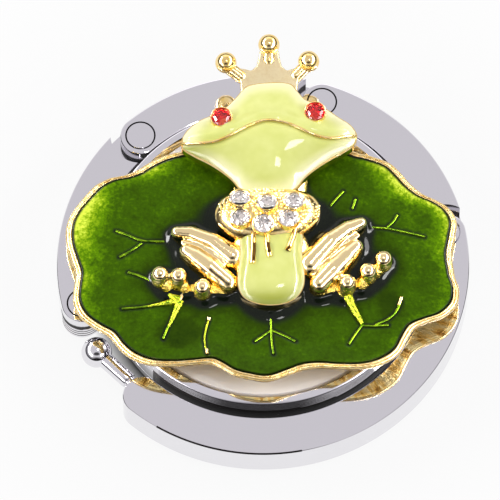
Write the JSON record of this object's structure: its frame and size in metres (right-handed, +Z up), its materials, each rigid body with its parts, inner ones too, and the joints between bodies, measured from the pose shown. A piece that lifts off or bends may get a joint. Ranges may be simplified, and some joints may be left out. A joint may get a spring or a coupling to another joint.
{
  "type": "folding purse hook",
  "caption": "Round table hook for a purse: a crowned frog on a lily pad sits on a disc ringed by hinged arc links that unfold into a hanging hook.",
  "frame": {"origin": "centre of the disc on the underside of its rubber pad, where it rests on a table", "axes": "+Z up through the disc, +Y from the disc's centre towards the frog's crown, +X to the frog's head's right side as seen from above with the crown away from the viewer"},
  "size_m": [0.046, 0.0484, 0.0134],
  "materials": {
    "chrome_plate": "mirror polished plating",
    "satin_steel": "turned steel",
    "gold_plate": "polished pale gold plating on a casting",
    "leaf_enamel": "glossy translucent green enamel over a textured bed",
    "lime_enamel": "glossy pearly lime enamel",
    "clear_stone": "faceted clear glass",
    "red_stone": "faceted red glass",
    "rubber": "matte grip pad",
    "magnet": "plain sintered magnet"
  },
  "bodies": {
    "disc": {"tray": "chrome_plate", "rubber_pad": "rubber", "catch_magnet": "magnet", "swivel_pin": "satin_steel", "lily_pad": "gold_plate", "leaf_enamel": "leaf_enamel", "frog_casting": "gold_plate", "head_enamel_upper": "lime_enamel", "head_enamel_lower": "lime_enamel", "belly_enamel": "lime_enamel", "collar_stone_1": "clear_stone", "collar_stone_2": "clear_stone", "collar_stone_3": "clear_stone", "collar_stone_4": "clear_stone", "collar_stone_5": "clear_stone", "collar_stone_6": "clear_stone", "eye_stone_left": "red_stone", "eye_stone_right": "red_stone"},
    "knuckle": {"swivel_knuckle": "chrome_plate", "hinge_rivet_1": "chrome_plate"},
    "first_link": {"link_a": "chrome_plate", "hinge_rivet_2": "chrome_plate"},
    "second_link": {"link_b": "chrome_plate", "hinge_rivet_3": "chrome_plate"},
    "third_link": {"link_c": "chrome_plate", "hinge_rivet_4": "chrome_plate"},
    "hook": {"hook_link": "chrome_plate", "tip_rod": "chrome_plate"}
  },
  "joints": [
    {"name": "disc_swivel", "type": "hinge", "parent": "disc", "child": "knuckle", "pos_m": [-0.01847, -0.00444, 0.00151], "axis": [-0.9724, -0.2334, 0], "range_deg": [0, 90]},
    {"name": "first_link_hinge", "type": "hinge", "parent": "knuckle", "child": "first_link", "pos_m": [-0.02018, -0.00484, 0.00267], "axis": [0, 0, 1], "range_deg": [0, 37]},
    {"name": "second_link_hinge", "type": "hinge", "parent": "first_link", "child": "second_link", "pos_m": [-0.01375, 0.01554, 0.00267], "axis": [0, 0, 1], "range_deg": [0, 37]},
    {"name": "third_link_hinge", "type": "hinge", "parent": "second_link", "child": "third_link", "pos_m": [0.00662, 0.01967, 0.00267], "axis": [0, 0, 1], "range_deg": [0, 37]},
    {"name": "hook_hinge", "type": "hinge", "parent": "third_link", "child": "hook", "pos_m": [0.0204, 0.00378, 0.00267], "axis": [0, 0, 1], "range_deg": [0, 37]}
  ],
  "couplings": [
    {"joint": "disc_swivel", "follows": "hook_hinge", "ratio": 1.7297},
    {"joint": "first_link_hinge", "follows": "hook_hinge", "ratio": 0.13514},
    {"joint": "second_link_hinge", "follows": "hook_hinge", "ratio": 0.24324},
    {"joint": "third_link_hinge", "follows": "hook_hinge", "ratio": 1}
  ]
}
